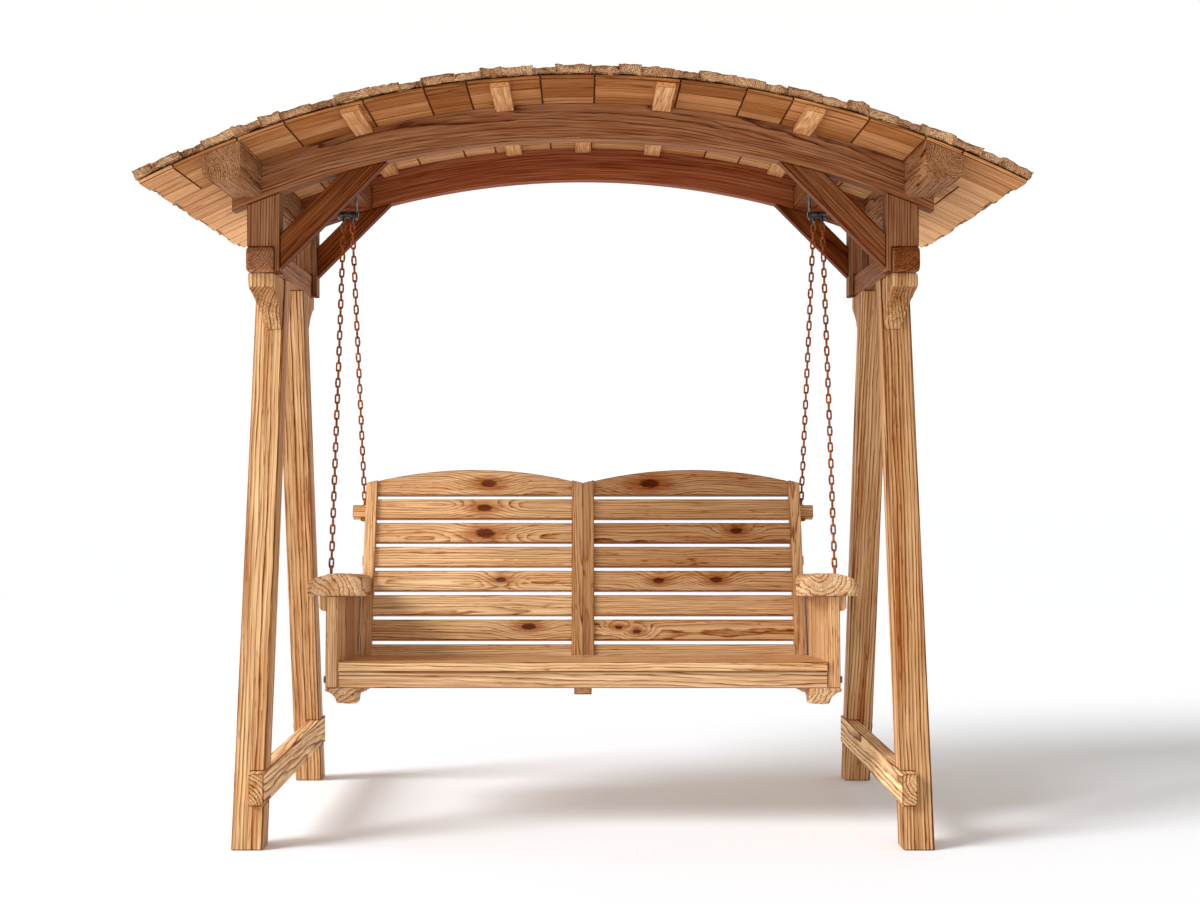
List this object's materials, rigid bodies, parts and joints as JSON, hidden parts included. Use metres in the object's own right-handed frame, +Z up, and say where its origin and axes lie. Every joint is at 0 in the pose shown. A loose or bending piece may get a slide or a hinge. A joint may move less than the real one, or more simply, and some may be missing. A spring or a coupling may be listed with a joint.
{
  "type": "garden swing seat",
  "caption": "Timber garden swing: slatted bench hung on chains from hanger rails under an arched plank roof on leaning legs; it swings to and fro.",
  "frame": {"origin": "on the floor, at the middle of the stand in width and depth", "axes": "+X along the width, to the right of a person who looks at the front; +Y from the front to the rear; +Z up"},
  "size_m": [2.3752, 1.4214, 2.1009],
  "materials": {
    "stand_timber": "satin",
    "beam_timber": "satin",
    "roof_timber": "matte",
    "seat_timber": "satin",
    "chain_steel": "satin",
    "hanger_steel": "satin",
    "screw_steel": "satin"
  },
  "bodies": {
    "stand": {"arch_beam_front": "beam_timber", "arch_beam_rear": "beam_timber", "cap_beam_left": "stand_timber", "cap_beam_right": "stand_timber", "corbels": "stand_timber", "eave_purlin_left": "beam_timber", "eave_purlin_right": "beam_timber", "hanger_bracket_left": "hanger_steel", "hanger_bracket_right": "hanger_steel", "hanger_pins": "hanger_steel", "hanger_rail_left": "beam_timber", "hanger_rail_right": "beam_timber", "hanger_screws": "screw_steel", "head_posts": "stand_timber", "knee_brace_front_left": "beam_timber", "knee_brace_front_right": "beam_timber", "knee_brace_rear_left": "beam_timber", "knee_brace_rear_right": "beam_timber", "leg_front_left": "stand_timber", "leg_front_right": "stand_timber", "leg_rear_left": "stand_timber", "leg_rear_right": "stand_timber", "roof_battens": "roof_timber", "roof_boards": "roof_timber", "roof_planks": "roof_timber", "stand_screws": "screw_steel", "stretcher_left": "stand_timber", "stretcher_right": "stand_timber"},
    "swing": {"swivel_eyes_left": "chain_steel", "swivel_eyes_right": "chain_steel", "chain_front_left": "chain_steel", "chain_front_right": "chain_steel", "chain_rear_left": "chain_steel", "chain_rear_right": "chain_steel", "front_apron": "seat_timber", "centre_bearer": "seat_timber", "seat_side_rails": "seat_timber", "seat_slats": "seat_timber", "end_runner_left": "seat_timber", "end_runner_right": "seat_timber", "back_stile_inner_left": "seat_timber", "back_stile_inner_right": "seat_timber", "back_stile_outer_left": "seat_timber", "back_stile_outer_right": "seat_timber", "back_slats_left": "seat_timber", "back_slats_right": "seat_timber", "top_rail_left": "seat_timber", "top_rail_right": "seat_timber", "upper_back_rail": "seat_timber", "lower_back_rail": "seat_timber", "foot_back_rail": "seat_timber", "back_eye_bolts": "chain_steel", "arm_eye_bolts": "chain_steel", "armrest_left": "seat_timber", "armrest_right": "seat_timber", "arm_post_left": "seat_timber", "arm_post_right": "seat_timber", "side_boards": "seat_timber", "arm_cleats": "seat_timber", "seat_screws": "screw_steel"}
  },
  "joints": [
    {"name": "seat_swing", "type": "hinge", "parent": "stand", "child": "swing", "pos_m": [0, 0, 1.80124], "axis": [1, 0, 0], "range_deg": [-25, 25]}
  ]
}
